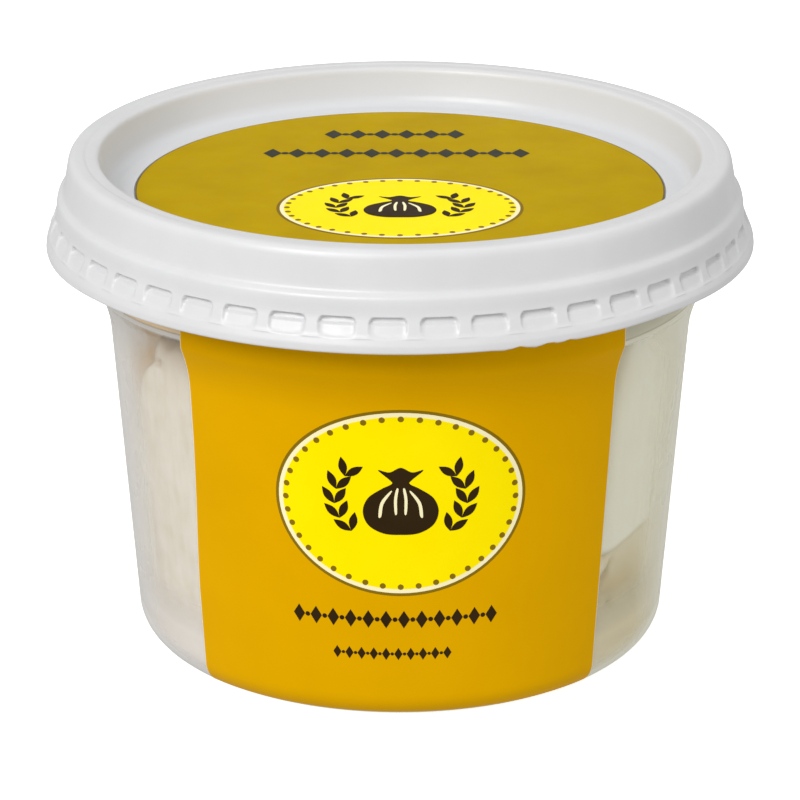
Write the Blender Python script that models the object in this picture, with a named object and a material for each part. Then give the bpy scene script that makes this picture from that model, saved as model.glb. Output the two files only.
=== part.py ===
"""A burrata in its shut, see-through tub, built at real size in metres with +Z up.

The origin is on the resting plane, under the middle of the tub. The tub's front label faces -Y.
"""

import math

import bmesh
import bpy
from mathutils import Matrix, Vector

MM = 0.001

# Gap left between pieces that touch on the real pack.
GAP = 0.3 * MM

# Tub: a thin moulded wall, a cone that flares into an upright collar, a ledge and a rim bead.
TUB_WALL = 1.0 * MM
TUB_SEGMENTS = 64
CONE_RADIUS = 37.88 * MM
CONE_SLOPE = 0.0723
BASE_CORNER = 4.5 * MM
CORNER_STEPS = 3
FOOT_RECESS = 0.8 * MM
FOOT_INNER_RADIUS = 29.0 * MM
FLARE_START = 45.5 * MM
FLARE_MIDDLE = 49.5 * MM
FLARE_END = 52.3 * MM
FLARE_POWER = 2.5
COLLAR_RADIUS = 42.9 * MM
LEDGE_BOTTOM = 58.9 * MM
LEDGE_THICKNESS = 1.1 * MM
LEDGE_RADIUS = 48.1 * MM
MOUTH_RADIUS = 43.5 * MM
MOUTH_STEP_BOTTOM = 59.1 * MM
MOUTH_STEP_TOP = 60.5 * MM
BEAD_BOTTOM = 68.3 * MM
BEAD_RADIUS = 45.2 * MM
BEAD_UNDERCUT = 0.4 * MM
RIM_TOP = 69.6 * MM

# Lid: a sunk panel, a rounded crest that caps the tub's rim, two tiers and a flared tear band.
LID_WALL = 1.0 * MM
LID_SEGMENTS = 60
PANEL_TOP = 65.35 * MM
PANEL_THICKNESS = 1.6 * MM
PANEL_RADIUS = 40.0 * MM
PANEL_FILLET = 1.4 * MM
CREST_INNER_RADIUS = 42.2 * MM
CREST_OUTER_RADIUS = 46.5 * MM
CREST_TOP = 71.0 * MM
CREST_ROUNDING = 1.1 * MM
CREST_DRAFT = 8.0
STEP_ROUNDING = 0.4 * MM
TIER_ONE_RADIUS = 46.95 * MM
TIER_ONE_FOOT = 68.2 * MM
TIER_TWO_RADIUS = 48.2 * MM
TIER_TWO_TOP = 65.9 * MM
GROOVE_RADIUS = 48.1 * MM
GROOVE_HEIGHT = 63.3 * MM
BAND_SLOPE_RADIUS = 49.1 * MM
BAND_SLOPE_HEIGHT = 61.4 * MM
BAND_SHOULDER_RADIUS = 49.75 * MM
BAND_SHOULDER_HEIGHT = 60.0 * MM
BAND_RADIUS = 50.0 * MM
BAND_WAIST = 58.8 * MM
BAND_FOOT = 57.5 * MM

# Tear band pockets: shallow rounded recesses in the flare, with narrow ribs between them.
POCKET_COUNT = 48
POCKET_PHASE = math.radians(-1.6)
POCKET_WIDTH = 5.0 * MM
POCKET_TOP = (48.05 * MM, 62.45 * MM)
POCKET_BOTTOM = (49.45 * MM, 60.15 * MM)
POCKET_CUT = 2.0 * MM
POCKET_CORNER = 0.7 * MM

# Labels: thin printed films moulded into the tub's wall and the lid's panel.
LABEL_THICKNESS = 0.25 * MM
LABEL_PROUD = 0.05 * MM
LABEL_HALF_ANGLE = math.radians(45.0)
LABEL_STEPS = 16
LABEL_TOP = 57.0 * MM
LABEL_CORNER_TURN = math.radians(50.0)
LID_LABEL_RADIUS = 37.3 * MM
LID_LABEL_SEGMENTS = 44

# Contents: a soft pouch of cheese wedged across the tub, tipped to the left, nearly under whey.
WHEY_LEVEL = 54.0 * MM
WHEY_SEGMENTS = 32
WHEY_CLEARANCE = 0.6 * MM
POUCH_RADIUS = 43.0 * MM
POUCH_HALF_HEIGHT = 25.4 * MM
POUCH_FULLNESS = 0.17
POUCH_OVAL = 0.68
POUCH_SQUARENESS = 3.1
POUCH_CENTRE = Vector((-0.2 * MM, -0.9 * MM, 28.2 * MM))
POUCH_TILT = math.radians(-3.0)
POUCH_SEGMENTS = 36
POUCH_ROWS = 11
POUCH_FIRST_ROW = math.radians(-89.0)
POUCH_LAST_ROW = math.radians(84.0)
POUCH_WALL_INSET = 2.4 * MM
POUCH_FLOOR_CLEARANCE = 0.35 * MM
FLOOR_SOFTNESS = 2.0 * MM
WALL_SOFTNESS = 2.0 * MM

# Hollows: past these edges on the wall, the cheese draws back from it. Azimuths run from -Y to +X.
HOLLOW_REACH = (18.0 * MM, 33.0 * MM)
LEFT_HOLLOW_DEPTH = 2.0 * MM
LEFT_HOLLOW_EDGE = math.radians(-64.0)
LEFT_HOLLOW_END = math.radians(-150.0)
LEFT_HOLLOW_HEIGHTS = (29.0 * MM, 34.0 * MM)
LEFT_HOLLOW_BEND = 40.0 * MM
LEFT_HOLLOW_SWING = math.radians(1.0) / MM
RIGHT_HOLLOW_DEPTH = 2.4 * MM
RIGHT_HOLLOW_SIDES = (math.radians(20.0), math.radians(150.0))
RIGHT_HOLLOW_HEIGHTS = (21.5 * MM, 18.5 * MM)
HOLLOW_TURN = math.radians(20.0)

# Knot: the pouch rises in a dome to its neck, and its skin opens again above it in a frill.
DOME_RADIUS = 13.0 * MM
DOME_HEIGHT = 27.2 * MM
NECK_RADIUS = 4.6 * MM
NECK_HEIGHT = 28.8 * MM
FRILL_RADIUS = 7.6 * MM
FRILL_HEIGHT = 31.0 * MM
KNOT_TOP_RADIUS = 4.2 * MM
KNOT_TOP_HEIGHT = 32.4 * MM

# Folds: pleats that deepen towards the neck, and slow waves round the whole pouch.
PLEAT_COUNT = 9
PLEAT_DEPTH = 0.06
PLEAT_START = 0.45
PLEAT_DRIFT = 1.3
FRILL_PLEATING = 2.2
WAVES = ((2, 0.018, 0.6), (3, 0.012, 2.0))


def clear_scene():
    """Removes the objects that a new file starts with."""
    for obj in list(bpy.data.objects):
        bpy.data.objects.remove(obj, do_unlink=True)


def make_material(name, colour, roughness, alpha=1.0, metallic=0.0):
    """A Principled material with a plain colour, as linear RGB."""
    material = bpy.data.materials.new(name)
    material.use_nodes = True
    shader = material.node_tree.nodes["Principled BSDF"]
    shader.inputs["Base Color"].default_value = (*colour, 1.0)
    shader.inputs["Roughness"].default_value = roughness
    shader.inputs["Metallic"].default_value = metallic
    shader.inputs["Alpha"].default_value = alpha
    return material


def clear_polypropylene():
    """Natural polypropylene: milky and see-through."""
    return make_material("clear_polypropylene", (0.80, 0.80, 0.77), 0.25, alpha=0.35)


def white_polypropylene():
    """Polypropylene coloured white, with a soft moulded gloss."""
    return make_material("white_polypropylene", (0.83, 0.83, 0.83), 0.35)


def mustard_film():
    """Printed label film in mustard yellow."""
    return make_material("mustard_film", (0.72, 0.40, 0.005), 0.30)


def fresh_cheese():
    """Smooth wet curd skin, a warm white."""
    return make_material("fresh_cheese", (0.86, 0.81, 0.70), 0.40)


def cloudy_whey():
    """Thin cloudy whey."""
    return make_material("cloudy_whey", (0.80, 0.76, 0.60), 0.10, alpha=0.5)


def add_object(name, mesh, material=None):
    """Links a new object that holds this mesh."""
    obj = bpy.data.objects.new(name, mesh)
    bpy.context.scene.collection.objects.link(obj)
    if material:
        mesh.materials.append(material)
    return obj


def make_helper(obj):
    """Turns an object into a cutter that is drawn as wire and never rendered."""
    obj.hide_render = True
    obj.display_type = "WIRE"
    return obj


def mesh_from(bm, name):
    """Closes an edit mesh into a mesh whose faces point out."""
    bmesh.ops.recalc_face_normals(bm, faces=bm.faces)
    mesh = bpy.data.meshes.new(name)
    bm.to_mesh(mesh)
    bm.free()
    return mesh


def smooth_by_angle(mesh, degrees=35.0):
    """Shades round stretches smooth and keeps edges sharper than the angle."""
    mesh.shade_smooth()
    mesh.set_sharp_from_angle(angle=math.radians(degrees))


def arc(centre, radius, start, end, steps):
    """Points of an arc in the profile plane, with angles in degrees from the outward direction."""
    points = []
    for i in range(steps + 1):
        angle = math.radians(start + (end - start) * i / steps)
        points.append((centre[0] + radius * math.cos(angle), centre[1] + radius * math.sin(angle)))
    return points


def turned(name, profile, segments, material):
    """A solid turned about Z from a profile that starts and ends on Z and runs down the outer side."""
    mesh = bpy.data.meshes.new(name)
    points = [(radius, 0.0, height) for radius, height in profile]
    edges = [(i, i + 1) for i in range(len(points) - 1)]
    mesh.from_pydata(points, edges, [])
    obj = add_object(name, mesh, material)
    screw = obj.modifiers.new("turn", "SCREW")
    screw.axis = "Z"
    screw.angle = math.tau
    screw.steps = segments
    screw.render_steps = segments
    screw.use_merge_vertices = True
    screw.merge_threshold = 0.00001
    screw.use_smooth_shade = True
    return obj


def cut(obj, cutter, name):
    """Takes the cutter's volume out of an object."""
    boolean = obj.modifiers.new(name, "BOOLEAN")
    boolean.operation = "DIFFERENCE"
    boolean.solver = "EXACT"
    boolean.object = cutter


def wall_radius(height):
    """Outer radius of the tub's wall at a height above the base corner."""
    cone = CONE_RADIUS + CONE_SLOPE * height
    if height <= FLARE_START:
        return cone
    share = min(1.0, (height - FLARE_START) / (FLARE_END - FLARE_START))
    return cone + (COLLAR_RADIUS - cone) * share**FLARE_POWER


def wall_line(offset, top, corner_turn=math.pi / 2):
    """The wall's line from the base corner up to top, moved outwards by offset."""
    corner = (wall_radius(BASE_CORNER) - BASE_CORNER, BASE_CORNER)
    line = arc(corner, BASE_CORNER + offset, -math.degrees(corner_turn), 0.0, CORNER_STEPS)
    for height in (FLARE_START, FLARE_MIDDLE, FLARE_END, top):
        line.append((wall_radius(height) + offset, height))
    return line


def tub_profile():
    """The tub's section: the floor, up the inner side, over the rim and down the outer side."""
    ledge_top = LEDGE_BOTTOM + LEDGE_THICKNESS
    inside = wall_line(-TUB_WALL, MOUTH_STEP_BOTTOM)
    floor = [(0.0, FOOT_RECESS + TUB_WALL), (FOOT_INNER_RADIUS, FOOT_RECESS + TUB_WALL)]
    rim = [
        (MOUTH_RADIUS, MOUTH_STEP_TOP),
        (MOUTH_RADIUS, RIM_TOP),
        (BEAD_RADIUS, RIM_TOP),
        (BEAD_RADIUS, BEAD_BOTTOM + BEAD_UNDERCUT),
        (MOUTH_RADIUS + TUB_WALL, BEAD_BOTTOM),
        (MOUTH_RADIUS + TUB_WALL, ledge_top),
        (LEDGE_RADIUS, ledge_top),
        (LEDGE_RADIUS, LEDGE_BOTTOM),
    ]
    outside = wall_line(0.0, LEDGE_BOTTOM)[::-1]
    foot = [(FOOT_INNER_RADIUS + FOOT_RECESS, 0.0), (FOOT_INNER_RADIUS, FOOT_RECESS)]
    return [*floor, *inside[1:], *rim, *outside, *foot, (0.0, FOOT_RECESS)]


def make_tub():
    """The moulded tub, with a shallow seat in its wall for each label."""
    tub = turned("tub", tub_profile(), TUB_SEGMENTS, clear_polypropylene())
    floor_of_seat = LABEL_PROUD - LABEL_THICKNESS - GAP
    mouth_of_seat = LABEL_PROUD + GAP
    half_angle = LABEL_HALF_ANGLE + GAP / CONE_RADIUS
    for side, turn in (("front", 0.0), ("back", math.pi)):
        name = side + "_label_seat"
        seat = label_sheet(name, floor_of_seat, mouth_of_seat, half_angle, GAP, turn)
        cut(tub, make_helper(seat), name)
    return tub


def label_sheet(name, inner, outer, half_angle, grow, turn, material=None):
    """A curved sheet on the tub's wall between two offsets, centred on -Y and turned about Z."""
    corner_turn = LABEL_CORNER_TURN + grow / BASE_CORNER
    top = LABEL_TOP + grow
    outer_line = wall_line(outer, top, corner_turn)
    inner_line = wall_line(inner, top, corner_turn)
    bm = bmesh.new()
    start = Matrix.Rotation(-math.pi / 2 - half_angle + turn, 4, "Z")
    loop = [bm.verts.new(start @ Vector((r, 0.0, z))) for r, z in outer_line + inner_line[::-1]]
    face = bm.faces.new(loop)
    bmesh.ops.spin(
        bm,
        geom=[face, *face.edges, *face.verts],
        cent=(0.0, 0.0, 0.0),
        axis=(0.0, 0.0, 1.0),
        angle=2 * half_angle,
        steps=LABEL_STEPS,
    )
    mesh = mesh_from(bm, name)
    smooth_by_angle(mesh)
    return add_object(name, mesh, material)


def make_wall_label(name, turn, material):
    """A printed film in the tub's wall, from under the lid down round the base corner."""
    inner = LABEL_PROUD - LABEL_THICKNESS
    return label_sheet(name, inner, LABEL_PROUD, LABEL_HALF_ANGLE, 0.0, turn, material)


def lid_profile():
    """The lid's section: the sunk panel, over the crest, down the skirt, then the underside."""
    seat_floor = PANEL_TOP - LABEL_THICKNESS - GAP
    seat_radius = LID_LABEL_RADIUS + GAP
    fillet = (PANEL_RADIUS, PANEL_TOP + PANEL_FILLET)
    inner_crest = (CREST_INNER_RADIUS + CREST_ROUNDING, CREST_TOP - CREST_ROUNDING)
    outer_crest = (CREST_OUTER_RADIUS - CREST_ROUNDING, CREST_TOP - CREST_ROUNDING)
    panel = [(0.0, seat_floor), (seat_radius, seat_floor), (seat_radius, PANEL_TOP)]
    hollow = arc(fillet, PANEL_FILLET, -90.0, -CREST_DRAFT, 2)
    crest = arc(inner_crest, CREST_ROUNDING, 180.0 - CREST_DRAFT, 90.0, 2)
    crest += arc(outer_crest, CREST_ROUNDING, 90.0, CREST_DRAFT, 2)
    skirt = [
        (TIER_ONE_RADIUS, TIER_ONE_FOOT),
        (TIER_TWO_RADIUS - STEP_ROUNDING, TIER_TWO_TOP + STEP_ROUNDING),
        (TIER_TWO_RADIUS, TIER_TWO_TOP - STEP_ROUNDING),
        (GROOVE_RADIUS, GROOVE_HEIGHT),
        (BAND_SLOPE_RADIUS, BAND_SLOPE_HEIGHT),
        (BAND_SHOULDER_RADIUS, BAND_SHOULDER_HEIGHT),
        (BAND_RADIUS, BAND_WAIST),
        (BAND_RADIUS, BAND_FOOT + STEP_ROUNDING),
        (BAND_RADIUS - STEP_ROUNDING, BAND_FOOT),
    ]
    underside = [
        (BAND_RADIUS - LID_WALL, BAND_FOOT),
        (BAND_SHOULDER_RADIUS - LID_WALL, BAND_SHOULDER_HEIGHT),
        (TIER_TWO_RADIUS - LID_WALL, GROOVE_HEIGHT - STEP_ROUNDING),
        (TIER_TWO_RADIUS - LID_WALL, TIER_TWO_TOP - STEP_ROUNDING),
        (TIER_ONE_RADIUS - LID_WALL, TIER_ONE_FOOT - STEP_ROUNDING),
        (CREST_OUTER_RADIUS - LID_WALL, CREST_TOP - LID_WALL),
        (CREST_INNER_RADIUS + LID_WALL, CREST_TOP - LID_WALL),
        (PANEL_RADIUS + PANEL_FILLET + LID_WALL, PANEL_TOP),
        (PANEL_RADIUS + PANEL_FILLET, PANEL_TOP - PANEL_THICKNESS),
        (0.0, PANEL_TOP - PANEL_THICKNESS),
    ]
    return panel + hollow + crest + skirt + underside


def runs_along(edge, direction):
    """Whether an edge is parallel to a direction of length one."""
    along = (edge.verts[0].co - edge.verts[1].co).normalized()
    return abs(along.dot(direction)) > 0.99


def pocket_blocks():
    """One block for each pocket, sunk into the flare so that its inner face is the pocket's floor."""
    top = Vector((POCKET_TOP[0], 0.0, POCKET_TOP[1]))
    bottom = Vector((POCKET_BOTTOM[0], 0.0, POCKET_BOTTOM[1]))
    slope = math.atan2(bottom.x - top.x, top.z - bottom.z)
    lean = Matrix.Rotation(-slope, 4, "Y")
    outwards = lean.to_3x3() @ Vector((1.0, 0.0, 0.0))
    place = Matrix.Translation((top + bottom) / 2 + outwards * POCKET_CUT / 2)
    size = Matrix.Diagonal((POCKET_CUT, POCKET_WIDTH, (bottom - top).length, 1.0))
    bm = bmesh.new()
    for i in range(POCKET_COUNT):
        turn = Matrix.Rotation(-math.pi / 2 + POCKET_PHASE + math.tau * i / POCKET_COUNT, 4, "Z")
        made = bmesh.ops.create_cube(bm, size=1.0, matrix=turn @ place @ lean @ size)
        depth = turn.to_3x3() @ outwards
        edges = {edge for vert in made["verts"] for edge in vert.link_edges}
        corners = [edge for edge in edges if runs_along(edge, depth)]
        bmesh.ops.bevel(bm, geom=corners, offset=POCKET_CORNER, segments=2, affect="EDGES", profile=0.5)
    return make_helper(add_object("tear_band_pockets", mesh_from(bm, "tear_band_pockets")))


def make_lid():
    """The press-on lid, with the ring of pockets cut into its tear band."""
    lid = turned("lid", lid_profile(), LID_SEGMENTS, white_polypropylene())
    cut(lid, pocket_blocks(), "tear_band_pockets")
    return lid


def make_lid_label(material):
    """The printed disc in the lid's sunk panel."""
    bm = bmesh.new()
    bmesh.ops.create_cone(
        bm,
        cap_ends=True,
        segments=LID_LABEL_SEGMENTS,
        radius1=LID_LABEL_RADIUS,
        radius2=LID_LABEL_RADIUS,
        depth=LABEL_THICKNESS,
        matrix=Matrix.Translation((0.0, 0.0, PANEL_TOP - LABEL_THICKNESS / 2)),
    )
    mesh = mesh_from(bm, "lid_label")
    smooth_by_angle(mesh)
    return add_object("lid_label", mesh, material)


def plan_share(angle):
    """The pouch's reach in a direction, seen from above: a rounded oblong, longest along X."""
    along = abs(math.cos(angle)) ** POUCH_SQUARENESS
    across = abs(math.sin(angle) / POUCH_OVAL) ** POUCH_SQUARENESS
    return (along + across) ** (-1.0 / POUCH_SQUARENESS)


def pouch_profile():
    """Radius, height, pleating and oblongness along the pouch, from its underside to its knot."""
    rows = []
    for i in range(POUCH_ROWS + 1):
        share = i / POUCH_ROWS
        angle = POUCH_FIRST_ROW + (POUCH_LAST_ROW - POUCH_FIRST_ROW) * share
        radius = POUCH_RADIUS * math.cos(angle) ** POUCH_FULLNESS
        height = POUCH_HALF_HEIGHT * math.sin(angle)
        pleating = max(0.0, share - PLEAT_START) / (1.0 - PLEAT_START)
        rows.append((radius, height, pleating, 1.0))
    middle = ((NECK_RADIUS + FRILL_RADIUS) / 2, (NECK_HEIGHT + FRILL_HEIGHT) / 2)
    rows.append((DOME_RADIUS, DOME_HEIGHT, 1.0, 0.0))
    rows.append((NECK_RADIUS, NECK_HEIGHT, 1.0, 0.0))
    rows.append((*middle, (1.0 + FRILL_PLEATING) / 2, 0.0))
    rows.append((FRILL_RADIUS, FRILL_HEIGHT, FRILL_PLEATING, 0.0))
    rows.append((KNOT_TOP_RADIUS, KNOT_TOP_HEIGHT, 1.0, 0.0))
    return rows


def soft_limit(value, limit, softness):
    """Lets value rise freely and levels it off smoothly just below limit."""
    start = limit - softness
    if value <= start:
        return value
    return start + softness * (1.0 - math.exp(-(value - start) / softness))


def eased(value, start, end):
    """A smooth step from 0 at start to 1 at end, which may lie either way round."""
    share = min(1.0, max(0.0, (value - start) / (end - start)))
    return share * share * (3.0 - 2.0 * share)


def hollow_depth(point):
    """How far the cheese draws back from the wall behind a point of its skin."""
    azimuth = math.atan2(point.x, -point.y)
    edge = LEFT_HOLLOW_EDGE + LEFT_HOLLOW_SWING * max(0.0, point.z - LEFT_HOLLOW_BEND)
    left = eased(azimuth, edge, edge - HOLLOW_TURN) * eased(point.z, *LEFT_HOLLOW_HEIGHTS)
    left *= eased(azimuth, LEFT_HOLLOW_END, LEFT_HOLLOW_END + HOLLOW_TURN)
    first, last = RIGHT_HOLLOW_SIDES
    right = eased(azimuth, first, first + HOLLOW_TURN) * eased(azimuth, last, last - HOLLOW_TURN)
    right *= eased(point.z, *RIGHT_HOLLOW_HEIGHTS)
    reach = eased(math.hypot(point.x, point.y), *HOLLOW_REACH)
    return reach * (left * LEFT_HOLLOW_DEPTH + right * RIGHT_HOLLOW_DEPTH)


def pouch_point(radius, height, pleating, oblong, angle):
    """A point of the cheese: pleated, tipped over, pressed to floor and wall, then hollowed."""
    drift = PLEAT_DRIFT * math.sin(2 * angle)
    out = radius * (1.0 + oblong * (plan_share(angle) - 1.0))
    out *= 1.0 + PLEAT_DEPTH * pleating * math.cos(PLEAT_COUNT * angle + drift)
    for count, depth, phase in WAVES:
        out *= 1.0 + depth * math.sin(count * angle + phase)
    point = Vector((out * math.cos(angle), out * math.sin(angle), height))
    point = Matrix.Rotation(POUCH_TILT, 3, "Y") @ point + POUCH_CENTRE
    floor = FOOT_RECESS + TUB_WALL + POUCH_FLOOR_CLEARANCE
    point.z = -soft_limit(-point.z, -floor, FLOOR_SOFTNESS)
    across = math.hypot(point.x, point.y)
    held = soft_limit(across, wall_radius(point.z) - POUCH_WALL_INSET, WALL_SOFTNESS)
    held -= hollow_depth(point)
    return Vector((point.x * held / across, point.y * held / across, point.z))


def pouch_mesh(name, grow):
    """The cheese as rings of points with a cap at each end, grown outwards if asked."""
    rows = pouch_profile()
    bm = bmesh.new()
    rings = []
    for row in rows:
        ring = []
        for i in range(POUCH_SEGMENTS):
            angle = math.tau * i / POUCH_SEGMENTS
            ring.append(bm.verts.new(pouch_point(*row, angle)))
        rings.append(ring)
    for lower, upper in zip(rings, rings[1:]):
        for i in range(POUCH_SEGMENTS):
            j = (i + 1) % POUCH_SEGMENTS
            bm.faces.new((lower[i], lower[j], upper[j], upper[i]))
    bm.faces.new(rings[0][::-1])
    bm.faces.new(rings[-1])
    bmesh.ops.triangulate(bm, faces=bm.faces, quad_method="FIXED")
    bmesh.ops.recalc_face_normals(bm, faces=bm.faces)
    bm.normal_update()
    if grow:
        moved = [(vert, vert.co + vert.normal * grow) for vert in bm.verts]
        for vert, place in moved:
            vert.co = place
    mesh = mesh_from(bm, name)
    smooth_by_angle(mesh, 60.0)
    return mesh


def make_burrata():
    """The cheese: a slumped pouch, gathered at its neck into a knot."""
    return add_object("burrata", pouch_mesh("burrata", 0.0), fresh_cheese())


def make_whey():
    """Whey up to its level inside the tub, with room for the cheese."""
    inset = TUB_WALL + GAP
    floor = FOOT_RECESS + inset
    profile = [(0.0, floor), (FOOT_INNER_RADIUS, floor), *wall_line(-inset, WHEY_LEVEL)[1:]]
    profile.append((0.0, WHEY_LEVEL))
    whey = turned("whey", profile[::-1], WHEY_SEGMENTS, cloudy_whey())
    room = add_object("room_for_cheese", pouch_mesh("room_for_cheese", WHEY_CLEARANCE))
    cut(whey, make_helper(room), "room_for_cheese")
    return whey


def main():
    clear_scene()
    film = mustard_film()
    make_tub()
    make_wall_label("front_label", 0.0, film)
    make_wall_label("back_label", math.pi, film)
    make_lid()
    make_lid_label(film)
    make_burrata()
    make_whey()


main()
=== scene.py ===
# %% [markdown]
# # A burrata in its lidded tub
# This lesson dresses a finished solid model for a product picture. The solids come with real
# sizes and places; here each one gets the shape and finish that the eye expects. Loading the
# frame first gives every later piece the same origin: the middle of the tub's resting plane,
# in metres, with the front label facing -Y.

# %% Load the frame
import math

import bmesh
import bpy
import numpy as np
from mathutils import Matrix, Vector


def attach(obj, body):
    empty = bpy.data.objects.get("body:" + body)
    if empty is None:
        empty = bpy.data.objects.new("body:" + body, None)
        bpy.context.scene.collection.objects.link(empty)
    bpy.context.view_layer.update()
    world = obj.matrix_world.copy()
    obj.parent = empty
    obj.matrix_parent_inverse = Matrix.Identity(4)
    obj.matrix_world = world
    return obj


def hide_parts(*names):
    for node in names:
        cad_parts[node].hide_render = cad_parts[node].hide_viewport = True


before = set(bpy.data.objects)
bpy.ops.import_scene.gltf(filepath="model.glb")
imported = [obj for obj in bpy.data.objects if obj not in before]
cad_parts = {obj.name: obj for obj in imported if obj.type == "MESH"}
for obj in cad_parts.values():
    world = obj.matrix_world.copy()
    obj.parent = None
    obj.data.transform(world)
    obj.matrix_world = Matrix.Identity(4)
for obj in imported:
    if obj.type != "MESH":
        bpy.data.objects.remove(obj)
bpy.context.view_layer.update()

MM = 0.001

# %% [markdown]
# ## Camera
# Packaging is often shot from far away with a long lens, so that its sides stay nearly straight.
# The ellipses of the lid and of the base fix how far the camera looks down, and how fast they
# shrink towards the back fixes its distance: 20.7 degrees down from half a metre away.

# %% Camera
scene = bpy.context.scene
camera_data = bpy.data.cameras.new("product_camera")
camera_data.sensor_width = 36.0
camera_data.lens = 163.4
camera = bpy.data.objects.new("product_camera", camera_data)
camera.location = (0.0, -490.04 * MM, 218.58 * MM)
camera.rotation_euler = (math.radians(90.0 - 20.74), 0.0, 0.0)
scene.collection.objects.link(camera)
scene.camera = camera
scene.view_settings.view_transform = "Standard"
print("field of view, degrees:", round(math.degrees(camera_data.angle), 2))

# %% [markdown]
# ## Nodes and colours
# Every finish below is a small network of shader nodes. One helper adds a node with its settings
# and links, so that a network reads like a recipe. Colours are written as sRGB hex values, as a
# colour picker shows them, and turned to the linear values that Cycles computes with. Blender's
# lengths are in metres, so those in millimetres are times MM.

# %% Helpers for finishes
def linear(code, strength=1.0):
    """Turns an sRGB hex code into a linear colour, with the strength as its fourth value."""
    parts = [int(code[i : i + 2], 16) / 255 for i in (1, 3, 5)]
    curve = [p / 12.92 if p <= 0.04045 else ((p + 0.055) / 1.055) ** 2.4 for p in parts]
    return (*curve, strength)


def add(tree, kind, inputs=None, **settings):
    """Adds a shader node, sets its properties, and fills its inputs with values or links."""
    made = tree.nodes.new("ShaderNode" + kind)
    for name, value in settings.items():
        setattr(made, name, value)
    for name, value in (inputs or {}).items():
        if isinstance(value, bpy.types.NodeSocket):
            tree.links.new(value, made.inputs[name])
        else:
            made.inputs[name].default_value = value
    return made


def new_finish(name):
    """A material with an empty network: its node tree, and the node that takes the surface."""
    finish = bpy.data.materials.new(name)
    finish.use_nodes = True
    finish.node_tree.nodes.clear()
    return finish, finish.node_tree, add(finish.node_tree, "OutputMaterial")


def speckle(tree, place, size_mm, detail=3.0):
    """A noise pattern whose lumps measure about size_mm, with values round 0.5."""
    scale = 1.0 / (size_mm * MM)
    inputs = {"Vector": place, "Scale": scale, "Detail": detail, "Roughness": 0.55}
    return add(tree, "TexNoise", inputs).outputs["Fac"]


def spread(tree, value, low, high, start=0.3, end=0.7):
    """Turns a value that runs from start to end into one that runs from low to high, and stops."""
    ends = {"Value": value, "From Min": start, "From Max": end, "To Min": low, "To Max": high}
    return add(tree, "MapRange", ends).outputs["Result"]


def axis_distance(tree, place):
    """How far a place is from the Z axis, on which the tub stands."""
    axes = add(tree, "SeparateXYZ", {"Vector": place}).outputs
    flat = add(tree, "CombineXYZ", {"X": axes["X"], "Y": axes["Y"]}).outputs["Vector"]
    return add(tree, "VectorMath", {0: flat}, operation="LENGTH").outputs["Value"]


print("mustard in linear light:", [round(c, 3) for c in linear("#E0AC00")[:3]])

# %% [markdown]
# ## Studio
# White packaging on white needs a bright floor and large, soft lights, or its own edges vanish.
# The floor glows a little by itself, as an acrylic sheet lit from below does, so that it stays
# whiter than the lid. Only the camera sees it: it is hidden from shadows, soft bounces and gloss,
# so the even studio light reaches the pack from below too, and no dark line of contact is left,
# as in a cut-out product picture. A big softbox in front on the left is the key light, a weaker
# one on the right keeps the shaded side open, and one overhead draws the rims.

# %% Floor and lights
floor_mesh = bpy.data.meshes.new("studio_floor")
REACH = 6.0
corners = [(-REACH, -REACH, 0.0), (REACH, -REACH, 0.0), (REACH, REACH, 0.0), (-REACH, REACH, 0.0)]
floor_mesh.from_pydata(corners, [], [(0, 1, 2, 3)])
floor = bpy.data.objects.new("studio_floor", floor_mesh)
floor.visible_diffuse = False
floor.visible_shadow = False
floor.visible_glossy = False
scene.collection.objects.link(floor)

floor_finish, tree, surface = new_finish("lit_white_acrylic")
place = add(tree, "TexCoord").outputs["Object"]
shade = add(
    tree,
    "BsdfPrincipled",
    {
        "Base Color": linear("#F4F4F3"),
        "Roughness": spread(tree, speckle(tree, place, 40.0), 0.55, 0.65),
        "Specular IOR Level": 0.2,
        "Emission Color": linear("#FFFFFF"),
        "Emission Strength": 0.65,
    },
)
tree.links.new(shade.outputs["BSDF"], surface.inputs["Surface"])
floor_mesh.materials.append(floor_finish)
TUB_MIDDLE = 35.0 * MM


def softbox(name, place, size, power):
    """A white, square light, sized in metres and watts, that looks at the middle of the tub."""
    data = bpy.data.lights.new(name, "AREA")
    data.shape = "SQUARE"
    data.size = size
    data.energy = power
    lamp = bpy.data.objects.new(name, data)
    lamp.location = place
    aim = Vector((0.0, 0.0, TUB_MIDDLE)) - Vector(place)
    lamp.rotation_euler = aim.to_track_quat("-Z", "Y").to_euler()
    scene.collection.objects.link(lamp)
    return lamp


softbox("key_softbox", (-0.56, -0.90, 0.88), 0.7, 13.0)
softbox("fill_softbox", (1.12, -0.35, 0.45), 0.8, 2.0)
softbox("top_softbox", (0.40, 0.30, 1.1), 0.8, 1.2)
world = bpy.data.worlds.new("studio")
scene.world = world
world.use_nodes = True
world.node_tree.nodes["Background"].inputs["Color"].default_value = linear("#F8F8F8")
world.node_tree.nodes["Background"].inputs["Strength"].default_value = 0.66

# %% [markdown]
# ## Turned forms
# The lid, the tub and the liquid are round, so each starts as a section: a line of radius and
# height that leaves the axis, goes once round the cross-section and comes back to the axis. A
# mould never has knife edges, so a helper rounds the corners first. The line is then swept round
# Z. Writing the mesh directly, and not with a Screw modifier, leaves room to move single points.

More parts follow.
